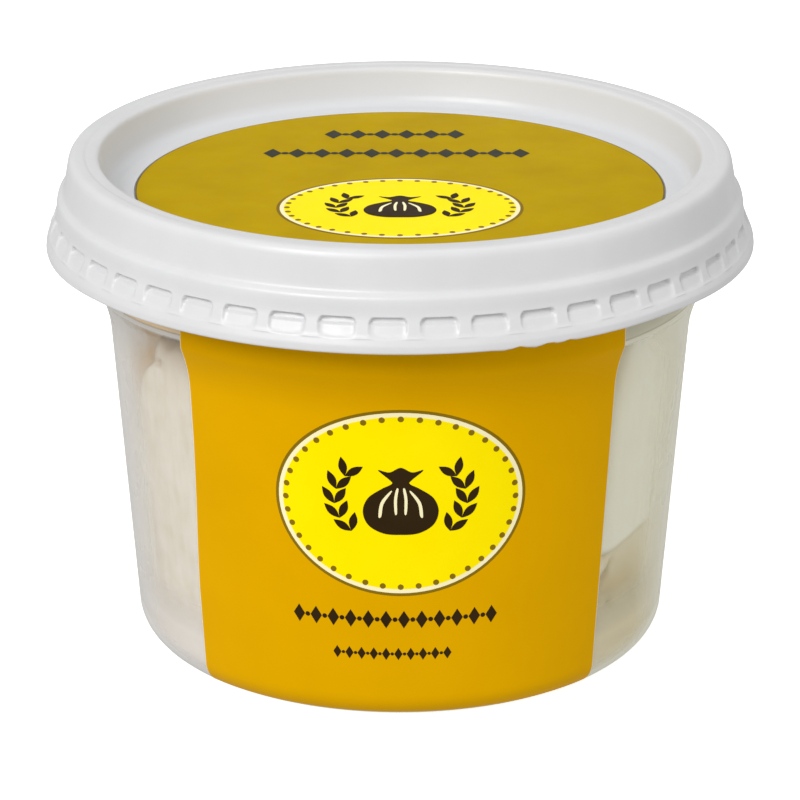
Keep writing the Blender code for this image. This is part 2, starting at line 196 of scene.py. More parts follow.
# %% Helpers for turned forms
def rounded(corners, steps=4):
    """Rounds each corner (radius, height, reach) of a section, all in mm."""
    line = []
    for i, (radius, height, reach) in enumerate(corners):
        here = Vector((radius, height))
        if reach == 0 or i in (0, len(corners) - 1):
            line.append(tuple(here))
            continue
        before = Vector(corners[i - 1][:2]) - here
        after = Vector(corners[i + 1][:2]) - here
        start = here + before.normalized() * min(reach, 0.49 * before.length)
        end = here + after.normalized() * min(reach, 0.49 * after.length)
        for k in range(steps + 1):
            s = k / steps
            line.append(tuple(start * (1 - s) ** 2 + here * (2 * s * (1 - s)) + end * s**2))
    return line


def finished(bm, name, finish, sharp=40.0):
    """Makes an object of an edit mesh, shaded smooth but for edges sharper than the angle."""
    bmesh.ops.recalc_face_normals(bm, faces=bm.faces)
    mesh = bpy.data.meshes.new(name)
    bm.to_mesh(mesh)
    bm.free()
    mesh.shade_smooth()
    mesh.set_sharp_from_angle(angle=math.radians(sharp))
    mesh.materials.append(finish)
    obj = bpy.data.objects.new(name, mesh)
    scene.collection.objects.link(obj)
    return obj


def wrapped(name, radii, heights, angles, finish, sharp=40.0):
    """A closed round mesh: one row for each point of the section, one column for each angle."""
    radii = np.asarray(radii) * MM
    heights = np.asarray(heights) * MM
    rows, columns = radii.shape
    points = np.stack([radii * np.cos(angles), radii * np.sin(angles), heights], axis=-1)
    row = np.arange(rows - 1)[:, None] * columns
    here = np.arange(columns)[None, :]
    after = (here + 1) % columns
    quads = np.stack([row + here, row + columns + here, row + columns + after, row + after], axis=-1)
    mesh = bpy.data.meshes.new(name + "_rows")
    mesh.from_pydata(points.reshape(-1, 3).tolist(), [], quads.reshape(-1, 4).tolist())
    bm = bmesh.new()
    bm.from_mesh(mesh)
    bpy.data.meshes.remove(mesh)
    bmesh.ops.remove_doubles(bm, verts=bm.verts, dist=1e-7)
    return finished(bm, name, finish, sharp)


def turned(name, line, angles, finish):
    """A closed round mesh swept from one section, given as radii and heights in mm."""
    section = np.array(line)
    radii = np.repeat(section[:, :1], len(angles), axis=1)
    heights = np.repeat(section[:, 1:], len(angles), axis=1)
    return wrapped(name, radii, heights, angles, finish)


def place_piece(obj, slot, *nodes):
    """Fixes a piece to the model's one body and hides the solids it stands for."""
    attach(obj, "root")
    if nodes:
        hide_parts(*nodes)
    print(obj.name, "has", len(obj.data.polygons), "faces")


# %% [markdown]
# ## White moulded polypropylene
# The lid is polypropylene with a white pigment, injection moulded. Polypropylene is waxy: its
# gloss is soft, and light sinks a little way in before it comes back, which softens the shading
# in its grooves. IOR is 1.49. The mould's polish leaves a faint unevenness, about 2 mm across,
# and a finer grain that is drawn at 0.4 mm because the real one would not show. Inside the crest
# the tone is a shade bluer, which evens out the yellow light that the printed disc throws there.

# %% Finish of the lid
CREST_INSIDE = 41.8
CREST_OUTSIDE = 42.6
lid_white, tree, surface = new_finish("moulded_white_polypropylene")
place = add(tree, "TexCoord").outputs["Object"]
cloud = spread(tree, speckle(tree, place, 9.0), 0.0, 1.0)
tones = {"Factor": cloud, "A": linear("#CDCDCE"), "B": linear("#D1D1D2")}
outer_tone = add(tree, "Mix", tones, data_type="RGBA").outputs["Result"]
reach = axis_distance(tree, place)
sunk = spread(tree, reach, 1.0, 0.0, CREST_INSIDE * MM, CREST_OUTSIDE * MM)
tones = {"Factor": sunk, "A": outer_tone, "B": linear("#CECFD1")}
tone = add(tree, "Mix", tones, data_type="RGBA").outputs["Result"]
flow = add(tree, "Bump", {"Strength": 0.05, "Distance": 0.2 * MM, "Height": speckle(tree, place, 2.0)})
grain = add(
    tree,
    "Bump",
    {
        "Strength": 0.06,
        "Distance": 0.05 * MM,
        "Height": speckle(tree, place, 0.4),
        "Normal": flow.outputs["Normal"],
    },
)
shade = add(
    tree,
    "BsdfPrincipled",
    {
        "Base Color": tone,
        "Roughness": spread(tree, speckle(tree, place, 3.0), 0.30, 0.40),
        "IOR": 1.49,
        "Subsurface Weight": 0.12,
        "Subsurface Radius": (1.0, 1.0, 1.0),
        "Subsurface Scale": 0.8 * MM,
        "Normal": grain.outputs["Normal"],
    },
)
tree.links.new(shade.outputs["BSDF"], surface.inputs["Surface"])
print(lid_white.name, "has", len(tree.nodes), "nodes")

# %% [markdown]
# ## Lid
# The section follows the real lid: a sunk panel with a seat for the printed disc, a rounded crest
# that grips the tub's rim, two stacked tiers, and a flared band that tears off. The crest's top
# has a shallow step halfway across. The band needs close rows of points, because the pockets are
# pressed into it next.

# %% Section of the lid
# Each corner is its radius, its height and how far its rounding reaches, all in mm.
LID_SECTION = [
    (0.0, 65.07, 0.0), (37.42, 65.07, 0.04), (37.48, 65.33, 0.08), (41.10, 65.35, 1.6),
    (42.20, 70.55, 0.6), (42.75, 70.86, 0.4), (44.15, 70.88, 0.15), (44.45, 71.0, 0.2),
    (46.40, 71.0, 1.2), (46.88, 68.40, 0.6), (47.25, 66.30, 0.4), (47.42, 65.75, 0.25),
    (48.12, 65.15, 0.3), (48.30, 64.40, 0.5), (48.42, 63.25, 0.35),
]
BAND_SECTION = [
    (48.42, 63.25, 0.0), (48.54, 62.60, 0.4), (49.42, 60.20, 0.6), (49.92, 58.60, 0.4),
    (50.0, 57.72, 0.2), (49.62, 57.5, 0.2), (49.05, 57.58, 0.2), (48.7, 59.9, 0.0),
]
LID_UNDERSIDE = [
    (48.7, 59.9, 0.0), (46.8, 63.2, 0.5), (47.2, 65.4, 0.5), (45.9, 67.8, 0.5), (45.5, 70.0, 0.8),
    (43.2, 70.0, 0.6), (42.4, 65.5, 0.8), (41.3, 63.75, 0.8), (0.0, 63.75, 0.0),
]


def closer(line, spacing):
    """Adds points to a line so that none are further apart than the spacing."""
    dense = [line[0]]
    for start, end in zip(line, line[1:]):
        parts = max(1, math.ceil(math.dist(start, end) / spacing))
        for k in range(1, parts + 1):
            share = k / parts
            dense.append(tuple(a + (b - a) * share for a, b in zip(start, end)))
    return dense


BAND_SPACING = 0.13
upper = rounded(LID_SECTION)
band = closer(rounded(BAND_SECTION), BAND_SPACING)
lid_line = upper[:-1] + band[:-1] + rounded(LID_UNDERSIDE)
print("points in the lid's section:", len(lid_line))

# %% [markdown]
# ## Pockets of the tear band
# The band is stiffened by 46 pockets, one every 7.8 degrees. Each is deepest in a notch under its
# top edge, which casts a soft shadow. A small ledge ends the notch, and from there the floor runs
# out flush at the foot, where the corners are rounder. A formula for the distance to a rounded
# rectangle gives both the outline and the slope of the walls. The columns are crowded near the
# walls, where the surface turns, and sparse elsewhere.

# %% Press the pockets
POCKETS = 46
POCKET_PHASE = math.radians(-1.8)
POCKET_HALF_WIDTH = 2.62
POCKET_TOP = 62.78
POCKET_FOOT = 59.75
POCKET_DEPTH = 0.50
NOTCH_DEPTH = 0.26
NOTCH_HEIGHT = 1.30
LEDGE_WIDTH = 0.45
WALL_WIDTH = 0.42
TOP_CORNER = 1.0
FOOT_CORNER = 1.4
RIB_FOOT = 0.08
RIB_FOOT_LEVEL = 60.0
BAND_RADIUS = 49.0


def rounded_box_distance(across, up, half_width, half_height, top_corner, foot_corner):
    """Distance outside (positive) or inside (negative) a box whose upper and lower corners differ."""
    corner = np.where(up > 0, top_corner, foot_corner)
    qx = np.abs(across) - half_width + corner
    qy = np.abs(up) - half_height + corner
    outside = np.hypot(np.maximum(qx, 0), np.maximum(qy, 0))
    return np.minimum(np.maximum(qx, qy), 0) + outside - corner


def eased(share):
    """A smooth step from 0 to 1."""
    share = np.clip(share, 0.0, 1.0)
    return share * share * (3.0 - 2.0 * share)


half_pitch = math.pi / POCKETS
near_wall = POCKET_HALF_WIDTH + np.array([-0.9, -0.45, -0.25, -0.12, 0.0, 0.12, 0.25])
from_middle = np.concatenate([[0.8], near_wall]) / BAND_RADIUS
offsets = np.concatenate([-from_middle[::-1], [0.0], from_middle, [half_pitch]])
centres = -math.pi / 2 + POCKET_PHASE + np.arange(POCKETS) * 2 * half_pitch
lid_angles = np.sort((centres[:, None] + offsets[None, :]).reshape(-1))

lid_section = np.array(lid_line)
radii = np.repeat(lid_section[:, :1], len(lid_angles), axis=1)
heights = np.repeat(lid_section[:, 1:], len(lid_angles), axis=1)
turn = (lid_angles - centres[0] + half_pitch) % (2 * half_pitch) - half_pitch
across = turn[None, :] * BAND_RADIUS
# The pockets go into the outer side of the band, which is the first three quarters of its rows.
outer_rows = np.zeros(len(lid_line), bool)
outer_rows[len(upper) - 1 : len(upper) - 1 + len(band) * 3 // 4] = True
half_height = (POCKET_TOP - POCKET_FOOT) / 2
up = heights - (POCKET_TOP + POCKET_FOOT) / 2
pocket_box = (POCKET_HALF_WIDTH, half_height, TOP_CORNER, FOOT_CORNER)
distance = rounded_box_distance(across, up, *pocket_box)
fall = np.clip((heights - POCKET_FOOT) / (POCKET_TOP - POCKET_FOOT), 0.0, 1.0)
notch = NOTCH_DEPTH * eased((heights - (POCKET_TOP - NOTCH_HEIGHT)) / LEDGE_WIDTH)
depth = (POCKET_DEPTH * fall**0.7 + notch) * eased(-distance / WALL_WIDTH)
rib_foot = RIB_FOOT * eased(distance / 0.3) * np.exp(-(((heights - RIB_FOOT_LEVEL) / 0.16) ** 2))
radii += outer_rows[:, None] * (rib_foot - depth)
print("columns:", len(lid_angles), "deepest pocket, mm:", round(float(depth.max()), 2))

# %% [markdown]
# ## Marks of the mould
# A moulded rim is never perfect. The band has warped a little as it cooled, so its lower edge
# rises and sinks by 0.8 mm on the way round, and on the right of the front it has a few ragged
# nibs of flash. Both come from short lists of places, so they stay where they are in every
# render. An azimuth is an angle round the pack, 0 at the front and positive to the right.

# %% The lid's lower edge
# Azimuth in degrees, and how far the edge lies higher there, in mm.
EDGE_LIFT = [
    (-180, 0.3), (-100, 0.1), (-72, 0.1), (-55, 0.5), (20, 0.5), (38, 0.7), (47, 0.9), (60, 0.7),
    (75, 0.6), (110, 0.4), (180, 0.3),
]
# Azimuth and width in degrees, and how far the nib hangs down, in mm; less than 0 is a dent.
NIBS = [
    (15.4, 0.9, 0.20), (18.2, 1.4, -0.26), (20.6, 0.8, 0.14), (23.1, 1.2, -0.34),
    (26.4, 1.3, -0.22),
]
LIP_RADIUS = 48.6
LIP_TOP = 60.6
LIP_FOOT = 58.0
lid_azimuths = (np.degrees(lid_angles) + 270.0) % 360.0 - 180.0
lift = np.interp(lid_azimuths, [a for a, _ in EDGE_LIFT], [b for _, b in EDGE_LIFT])
lip = np.clip((LIP_TOP - heights) / 2.0, 0.0, 1.0) * (radii > LIP_RADIUS)
heights += lift[None, :] * lip
for azimuth, width, hang in NIBS:
    along = lid_azimuths - azimuth
    bell = np.exp(-((along / (0.6 * width)) ** 2))
    edge = np.exp(-(((heights - LIP_FOOT) / 0.5) ** 2)) * (radii > LIP_RADIUS)
    heights -= hang * bell[None, :] * edge

lid = wrapped("white_lid", radii, heights, lid_angles, lid_white, 50.0)
place_piece(lid, "lid", "lid")

# %% [markdown]
# ## Natural moulded polypropylene
# The tub is the same plastic without pigment. A wall 0.65 mm thick lets the contents show through
# a milky veil, and the veil thickens where the wall is seen edge-on. So the finish mixes a
# see-through shader with a pale one, and the share of the pale one rises with the viewing slope.
# The bead at the shoulder is thicker plastic and its rounding catches a highlight, so it is
# painted whiter all the way round: partly its own whiteness, partly a painted highlight. It
# climbs a little where it nears the film's left edge. Above it the wall doubles up under the
# lid, and on the left a film of tan whey has dried there. The base corner is thicker too, and
# its veil closes where it turns away, which darkens the lower edge with painted shade in place
# of the bright floor seen through it. The wall's tone is painted greyer on the left, towards the
# key light, and yellower on the right, as painted light that has come through the whey.

# %% Finish of the tub
SHOULDER = 52.6
BEAD_CLIMB = 1.1
BEAD_HALF = 0.55
DRIED_UP_TO = -32.0
CLEAN_FROM = -24.0
FOOT_HEIGHT = 5.5
tub_clear, tree, surface = new_finish("moulded_natural_polypropylene")
place = add(tree, "TexCoord").outputs["Object"]
axes = add(tree, "SeparateXYZ", {"Vector": place}).outputs
side = axes["X"]
slope = add(tree, "LayerWeight", {"Blend": 0.5}).outputs["Facing"]
veil = spread(tree, slope, 0.04, 0.90, 0.62, 0.84)
climb = spread(tree, side, 0.0, BEAD_CLIMB * MM, -42.0 * MM, -30.0 * MM)
left_half = spread(tree, side, 1.0, 0.0, -20.0 * MM, 0.0)
climb = add(tree, "Math", {0: climb, 1: left_half}, operation="MULTIPLY").outputs["Value"]
level = add(tree, "Math", {0: climb, 1: SHOULDER * MM}, operation="ADD").outputs["Value"]
off_bead = add(tree, "Math", {0: axes["Z"], 1: level}, operation="SUBTRACT").outputs["Value"]
away = add(tree, "Math", {0: off_bead}, operation="ABSOLUTE").outputs["Value"]
# Painted highlight: the bead is whiter, partly for its thicker plastic, partly for the highlight.
bead = spread(tree, away, 0.90, 0.0, 0.20 * MM, BEAD_HALF * MM)
collar_share = spread(tree, side, 0.92, 0.50, DRIED_UP_TO * MM, CLEAN_FROM * MM)
collar = spread(tree, off_bead, 0.0, collar_share, 0.25 * MM, 0.6 * MM)
# Thicker plastic and painted light together: bead highlight, doubled collar, base-corner shade.
thick_plastic_and_painted_light = add(tree, "Math", {0: bead, 1: collar}, operation="MAXIMUM").outputs["Value"]
# Painted shade: the veil closes at the base corner and darkens the lower edge there.
corner = spread(tree, axes["Z"], 0.85, 0.0, 2.5 * MM, FOOT_HEIGHT * MM)
steep = spread(tree, slope, 0.0, 1.0, 0.40, 0.60)
corner = add(tree, "Math", {0: corner, 1: steep}, operation="MULTIPLY").outputs["Value"]
thick_plastic_and_painted_light = add(tree, "Math", {0: thick_plastic_and_painted_light, 1: corner}, operation="MAXIMUM").outputs["Value"]
share = add(tree, "Math", {0: veil, 1: thick_plastic_and_painted_light}, operation="ADD", use_clamp=True).outputs["Value"]
on_left = spread(tree, side, 2.0, 0.0, DRIED_UP_TO * MM, CLEAN_FROM * MM)
dried = add(tree, "Math", {0: collar, 1: on_left}, operation="MULTIPLY").outputs["Value"]
# Painted light: greyer towards the key light on the left, yellower where light crossed the whey.
yellower = spread(tree, side, 0.0, 1.0, -25.0 * MM, 25.0 * MM)
tones = {"Factor": yellower, "A": linear("#D5D2CD"), "B": linear("#E0DDC9")}
milky = add(tree, "Mix", tones, data_type="RGBA").outputs["Result"]
tones = {"Factor": dried, "A": milky, "B": linear("#EFD6AE")}
tone = add(tree, "Mix", tones, data_type="RGBA").outputs["Result"]
shade = add(
    tree,
    "BsdfPrincipled",
    {
        "Base Color": tone,
        "Roughness": spread(tree, speckle(tree, place, 9.0), 0.26, 0.30),
        "IOR": 1.49,
        "Specular IOR Level": 0.08,
    },
)
see_through = add(tree, "BsdfTransparent", {"Color": linear("#FEFEFD")})
mixed = add(tree, "MixShader", {"Fac": share, 1: see_through.outputs[0], 2: shade.outputs[0]})
tree.links.new(mixed.outputs["Shader"], surface.inputs["Surface"])
print(tub_clear.name, "has", len(tree.nodes), "nodes")

# %% [markdown]
# ## Tub
# The wall is a cone that flares into an upright collar under the lid. The same formula gives the
# outer line, the inner line one wall further in, and later the labels and the liquid, so that all
# of them keep exactly the same curve.

# %% Section of the tub
WALL = 0.65
CONE_RADIUS = 37.88
CONE_SLOPE = 0.0723
BASE_CORNER = 4.1
FLARE_START = 45.5
FLARE_END = 52.3
COLLAR = 42.9


def wall_radius(height):
    """Outer radius of the tub at a height, in mm."""
    cone = CONE_RADIUS + CONE_SLOPE * height
    if height <= FLARE_START:
        return cone
    share = min(1.0, (height - FLARE_START) / (FLARE_END - FLARE_START))
    return cone + (COLLAR - cone) * share**2.5


def wall_line(offset, top, turn=90.0, spacing=1.5):
    """The wall from the base corner up to a height, moved outwards by the offset."""
    line = []
    steps = max(4, round(turn / 9.0))
    for k in range(steps + 1):
        angle = math.radians(-turn * (1 - k / steps))
        reach = BASE_CORNER + offset
        radius = wall_radius(BASE_CORNER) - BASE_CORNER + reach * math.cos(angle)
        line.append((radius, BASE_CORNER + reach * math.sin(angle)))
    height = BASE_CORNER + spacing
    while height < top - 0.1:
        line.append((wall_radius(height) + offset, height))
        height += spacing if height < FLARE_START - spacing else 0.5
    line.append((wall_radius(top) + offset, top))
    return line


TUB_RIM = [
    (43.5, 60.4, 0.3), (43.5, 69.6, 0.3), (45.2, 69.6, 0.4), (45.2, 68.6, 0.2), (44.5, 68.2, 0.2),
    (44.5, 60.0, 0.2), (48.1, 60.0, 0.3), (48.1, 58.9, 0.3),
]
inside = wall_line(-WALL, 59.1)
outside = wall_line(0.0, 58.8)[::-1]
rim = rounded([(*inside[-1], 0.0), *TUB_RIM, (*outside[0], 0.0)])[1:-1]
foot = [(30.2, 0.0), (29.4, 0.2), (29.0, 0.8), (0.0, 0.8)]
floor_line = [(0.0, 1.8), (29.0, 1.8)]
tub_line = (floor_line + inside[1:] + rim + outside + foot)[::-1]
TUB_COLUMNS = 192
tub_angles = np.arange(TUB_COLUMNS) * math.tau / TUB_COLUMNS
tub = turned("clear_tub", tub_line, tub_angles, tub_clear)
place_piece(tub, "tub", "tub")

# %% [markdown]
# ## Printed film
# Each label is a white polypropylene film, printed and laid in the mould, so it ends up level
# with the wall. The ink lies thin and even; the wall behind it shrinks as it cools, which leaves
# a faint ripple that bends the gloss.

# %% Finishes of the film
def printed_ink(name, low, high, roughness=0.34, mottle_mm=14.0, gloss=0.02):
    """Ink on moulded film: two close tones in soft clouds, a satin gloss and a faint ripple."""
    finish, tree, surface = new_finish(name)
    place = add(tree, "TexCoord").outputs["Object"]
    cloud = spread(tree, speckle(tree, place, mottle_mm), 0.0, 1.0)
    tones = {"Factor": cloud, "A": linear(low), "B": linear(high)}
    tone = add(tree, "Mix", tones, data_type="RGBA").outputs["Result"]
    ripple = add(
        tree,
        "Bump",
        {"Strength": 0.10, "Distance": 0.2 * MM, "Height": speckle(tree, place, 3.5)},
    )
    shade = add(
        tree,
        "BsdfPrincipled",
        {
            "Base Color": tone,
            "Roughness": spread(tree, speckle(tree, place, 2.0), roughness - 0.05, roughness + 0.05),
            "IOR": 1.49,
            "Specular IOR Level": gloss,
            "Specular Tint": linear(high),
            "Normal": ripple.outputs["Normal"],
        },
    )
    tree.links.new(shade.outputs["BSDF"], surface.inputs["Surface"])
    return finish


film_white = printed_ink("white_polypropylene_film", "#E2DBC6", "#E8E1CC")
mustard = printed_ink("mustard_ink_on_film", "#D7A000", "#DCA400")
print("film finishes:", film_white.name, mustard.name)

# %% [markdown]
# ## Film on the wall
# The cut edge stays unprinted and shows as a thin pale line, so the film is made as a white sheet
# with a slightly narrower coat of colour on it. Both are built between two offsets from the wall's
# own line, so they lie in its curve and no modifier has to press them on.

# %% Sheets that follow the wall
# How far the film's left edge leans, in degrees at heights in mm: it was laid in a touch askew.
FILM_LEAN = [(0.0, -0.5), (16.0, -0.5), (23.0, 0.0), (29.0, 0.6), (38.0, 1.2), (52.0, 1.5)]


def film_turn(height, share):
    """The turn of a point of the film; share is 1 at the left edge and 0 at the right."""
    lean = np.interp(height, [z for z, _ in FILM_LEAN], [turn for _, turn in FILM_LEAN])
    return math.radians(float(lean)) * share**3


def wall_sheet(name, inner, outer, half_angle, turn, finish, top=57.0, corner_turn=50.0):
    """A curved sheet between two offsets from the wall, centred on -Y turned about Z."""
    outer_line = wall_line(outer, top, corner_turn)
    inner_line = wall_line(inner, top, corner_turn)
    loop = outer_line + inner_line[::-1]
    columns = 72
    bm = bmesh.new()
    rings = []
    for k in range(columns + 1):
        angle = turn - math.pi / 2 + half_angle * (2 * k / columns - 1)
        ring = []
        for r, z in loop:
            here = angle + film_turn(z, 1.0 - k / columns)
            ring.append(bm.verts.new(Vector((r * math.cos(here), r * math.sin(here), z)) * MM))
        rings.append(ring)
    for left, right in zip(rings, rings[1:]):
        for i in range(len(loop)):
            j = (i + 1) % len(loop)
            bm.faces.new((left[i], right[i], right[j], left[j]))
    rows = len(outer_line)
    for ring in (rings[0], rings[-1]):
        for i in range(rows - 1):
            j = len(loop) - 1 - i
            bm.faces.new((ring[i], ring[i + 1], ring[j - 1], ring[j]))
    return finished(bm, name, finish)


FILM_HALF_ANGLE = math.radians(45.0)
BARE_EDGE = 0.13 / 41.0
INKED_HALF_ANGLE = FILM_HALF_ANGLE - BARE_EDGE
for side, turn in (("front", 0.0), ("back", math.pi)):
    sheet = wall_sheet(side + "_film", -0.2, 0.03, FILM_HALF_ANGLE, turn, film_white)
    place_piece(sheet, "label", side + "_label")
    coat_name = side + "_mustard_coat"
    coat = wall_sheet(coat_name, 0.02, 0.06, INKED_HALF_ANGLE, turn, mustard, 56.9, 49.0)
    place_piece(coat, "label")

# %% [markdown]
# ## Printed disc of the lid
# The lid's disc is cut from the same film and lies in its seat. It picks up more light from above,
# so its ink is a darker copy of the mustard, painted shade that evens this out, and it looks a
# little greener than the front. The film's edge is left bare of mustard and coloured dark brown,
# painted shade for the hair-wide gap round the disc, and shows as a thin brown line.

# %% Disc and its coat
# Painted shade: a darker copy of the mustard, offsetting the stronger light from above.
disc_mustard = printed_ink("mustard_ink_on_lid_film", "#AE8F00", "#B89900", 0.38, 11.0, 0.008)


def disc(name, radius, low, high, finish):
    """A flat round plate between two heights, in mm."""
    bm = bmesh.new()
    bmesh.ops.create_cone(
        bm,
        cap_ends=True,
        segments=192,
        radius1=radius * MM,
        radius2=radius * MM,
        depth=(high - low) * MM,
        matrix=Matrix.Translation((0.0, 0.0, (low + high) / 2 * MM)),
    )
    return finished(bm, name, finish)


DISC_RADIUS = 37.3
DISC_LEVEL = 65.34
# Painted shade: the film's rim, bare of mustard, is dark brown for the shade in the gap.
gap_shade_edge = printed_ink("gap_shade_film_edge", "#6A5A38", "#786843", 0.4)
place_piece(disc("lid_film", DISC_RADIUS, 65.10, DISC_LEVEL - 0.02, gap_shade_edge), "lid_label", "lid_label")
place_piece(disc("lid_mustard_coat", DISC_RADIUS - 0.2, 65.31, DISC_LEVEL, disc_mustard), "lid_label")

# %% [markdown]
# ## Shapes of ink
# The badge and the rows of small motifs are flat shapes of ink. Each is drawn as a closed outline
# in millimetres, filled, sliced into strips a millimetre wide, and then bent onto the wall, so
# that it lies on the curve and not across it. Later layers lie a few hundredths higher.

# %% Helpers for ink shapes
def oval(width, height, centre=(0.0, 0.0), count=96):
    """An oval outline with so many points."""
    outline = []
    for k in range(count):
        angle = math.tau * k / count
        x = centre[0] + width / 2 * math.cos(angle)
        y = centre[1] + height / 2 * math.sin(angle)
        outline.append((x, y))
    return outline


def smooth_outline(points, steps=6):
    """A closed curve that passes through the points."""
    outline = []
    count = len(points)
    for i in range(count):
        p0, p1, p2, p3 = (Vector(points[(i + k) % count]) for k in (-1, 0, 1, 2))
        for k in range(steps):
            t = k / steps
            spot = p1 * 2 + (p2 - p0) * t + (p0 * 2 - p1 * 5 + p2 * 4 - p3) * t**2
            spot += (p1 * 3 - p0 - p2 * 3 + p3) * t**3
            outline.append(tuple(spot * 0.5))
    return outline


def leaf(start, angle, length, width):
    """A pointed leaf that grows from a spot in a direction, in degrees."""
    along = Vector((math.cos(math.radians(angle)), math.sin(math.radians(angle))))
    side = Vector((-along.y, along.x))
    outline = []
    for half, steps in ((1, range(8)), (-1, range(8, 0, -1))):
        for k in steps:
            spine = Vector(start) + along * length * (k / 8)
            swell = side * width / 2 * math.sin(math.pi * k / 8)
            outline.append(tuple(spine + swell * half))
    return outline


BADGE_LEVEL = 33.4


def on_front(x, y, lift):
    """Bends a point of the print onto the front of the wall; y is the height."""
    radius = wall_radius(y) + lift
    angle = -math.pi / 2 + x / wall_radius(BADGE_LEVEL)
    return Vector((radius * math.cos(angle), radius * math.sin(angle), y)) * MM


def on_back(x, y, lift):
    """The same on the back of the wall."""
    spot = on_front(x, y, lift)
    return Vector((-spot.x, -spot.y, spot.z))


def on_lid(x, y, lift):
    """Lays a point of the print on the lid's disc."""
    return Vector((x, y, DISC_LEVEL + lift)) * MM


def turns_left(outline):
    """The outline in the order that makes its face point up."""
    area = sum(a[0] * b[1] - b[0] * a[1] for a, b in zip(outline, outline[1:] + outline[:1]))
    return outline if area > 0 else outline[::-1]


def sliced(bm, axis, places):
    """Cuts a flat mesh across at each place along an axis."""
    normal = Vector((1.0, 0.0, 0.0)) if axis == "x" else Vector((0.0, 1.0, 0.0))
    for place in places:
        every = [*bm.verts, *bm.edges, *bm.faces]
        bmesh.ops.bisect_plane(bm, geom=every, dist=1e-5, plane_co=normal * place, plane_no=normal)


INK_THICKNESS = 0.008


def ink_piece(name, outlines, lift, bend, finish, slot):
    """Fills outlines, slices them finely, and lays them on a surface as a thin coat."""
    bm = bmesh.new()
    for outline in outlines:
        bm.faces.new([bm.verts.new((x, y, 0.0)) for x, y in turns_left(outline)])
    bm.normal_update()
    bmesh.ops.triangulate(bm, faces=bm.faces, ngon_method="EAR_CLIP")
    if bend is not on_lid:
        wide = max(abs(x) for outline in outlines for x, _ in outline)
        sliced(bm, "x", range(-math.floor(wide), math.floor(wide) + 1))
        sliced(bm, "y", np.arange(FLARE_START, FLARE_END, 0.5))
    raised = bmesh.ops.extrude_face_region(bm, geom=bm.faces[:])
    top = {item for item in raised["geom"] if isinstance(item, bmesh.types.BMVert)}
    for vert in bm.verts:
        level = lift if vert in top else lift - INK_THICKNESS
        vert.co = bend(vert.co.x, vert.co.y, level)
    piece = finished(bm, name, finish)
    place_piece(piece, slot)
    return piece


yellow = printed_ink("yellow_ink", "#FBE200", "#FEE806", 0.34)
cream = printed_ink("cream_ink", "#F3E9B8", "#F8F0C6", 0.36)
dark_brown = printed_ink("dark_brown_ink", "#2E2110", "#382916", 0.36)
olive = printed_ink("olive_brown_ink", "#7E6410", "#8A6E18", 0.36)

# %% [markdown]
# ## Badge
# A badge is printed in layers: a dark outer line, a cream line inside it, and a bright yellow
# field. Here its edge is a plain oval with a row of beads, and its motif is a knotted pouch of
# cheese between two sprigs, drawn for one side and mirrored. Only sizes and colours are taken
# from the real print.

# %% Draw the badge
POUCH_SIDE = [
    (2.4, -4.4), (4.4, -3.2), (5.1, -1.2), (4.4, 0.8), (2.6, 2.2), (1.2, 3.0), (1.5, 3.6),
    (3.0, 5.0), (1.5, 4.7),
]
POUCH = [(0.0, -4.6), *POUCH_SIDE, (0.0, 5.4), *[(-x, y) for x, y in POUCH_SIDE[::-1]]]
FOLD_SIDE = [
    [(0.6, 2.2), (0.9, 0.6), (0.8, -1.4), (0.5, -1.4), (0.5, 0.6), (0.3, 2.2)],
    [(1.5, 1.8), (2.7, 0.2), (3.0, -1.9), (2.6, -1.8), (2.3, 0.0), (1.2, 1.8)],
]
FOLDS = [[(side * x, y) for x, y in fold] for fold in FOLD_SIDE for side in (-1, 1)]


def moved(outline, centre, scale=1.0):
    """An outline scaled and moved to a centre."""
    return [(centre[0] + x * scale, centre[1] + y * scale) for x, y in outline]


def sprigs():
    """Two sprigs that curve up on either side of the pouch."""
    leaves = []
    for side in (-1, 1):
        for k in range(5):
            turn = math.radians(-42.0 + 19.0 * k)
            spot = (side * 9.0 * math.cos(turn), 0.2 + 6.6 * math.sin(turn))
            aim = 66.0 + 12.0 * k
            for lean in (-34.0, 34.0):
                heading = aim + lean
                leaves.append(leaf(spot, heading if side > 0 else 180.0 - heading, 2.9, 1.15))
    return leaves


def badge(name, centre, scale, lift, bend, slot):
    """Prints the badge's layers on a surface."""
    width, height = 34.6, 27.8
    beads = []
    for k in range(40):
        angle = math.tau * k / 40
        spot = (width / 2 * 0.915 * math.cos(angle), height / 2 * 0.9 * math.sin(angle))
        beads.append(oval(0.85, 0.85, spot, 12))
    layers = [
        ("dark_line", [oval(width, height)], olive),
        ("cream_line", [oval(width - 0.9, height - 0.9)], cream),
        ("yellow_field", [oval(width - 2.1, height - 2.1)], yellow),
        ("beads", beads, olive),
        ("pouch", [smooth_outline(POUCH), *sprigs()], dark_brown),
        ("folds", [smooth_outline(fold, 4) for fold in FOLDS], cream),
    ]
    for step, (part, outlines, ink) in enumerate(layers):
        outlines = [moved(outline, centre, scale) for outline in outlines]
        level = lift + 0.012 * (step + 1)
        ink_piece(name + "_" + part, outlines, level, bend, ink, slot)


badge("front_badge", (0.1, BADGE_LEVEL), 1.0, 0.06, on_front, "label")
badge("lid_badge", (0.0, -10.1), 0.99, 0.01, on_lid, "lid_label")

# %% [markdown]
# ## Rows of small motifs
# Under the badge, and behind it on the lid, run rows of small dark shapes: lozenges with dots
# between them. They keep the weight and the length of the lines that a label usually has there.

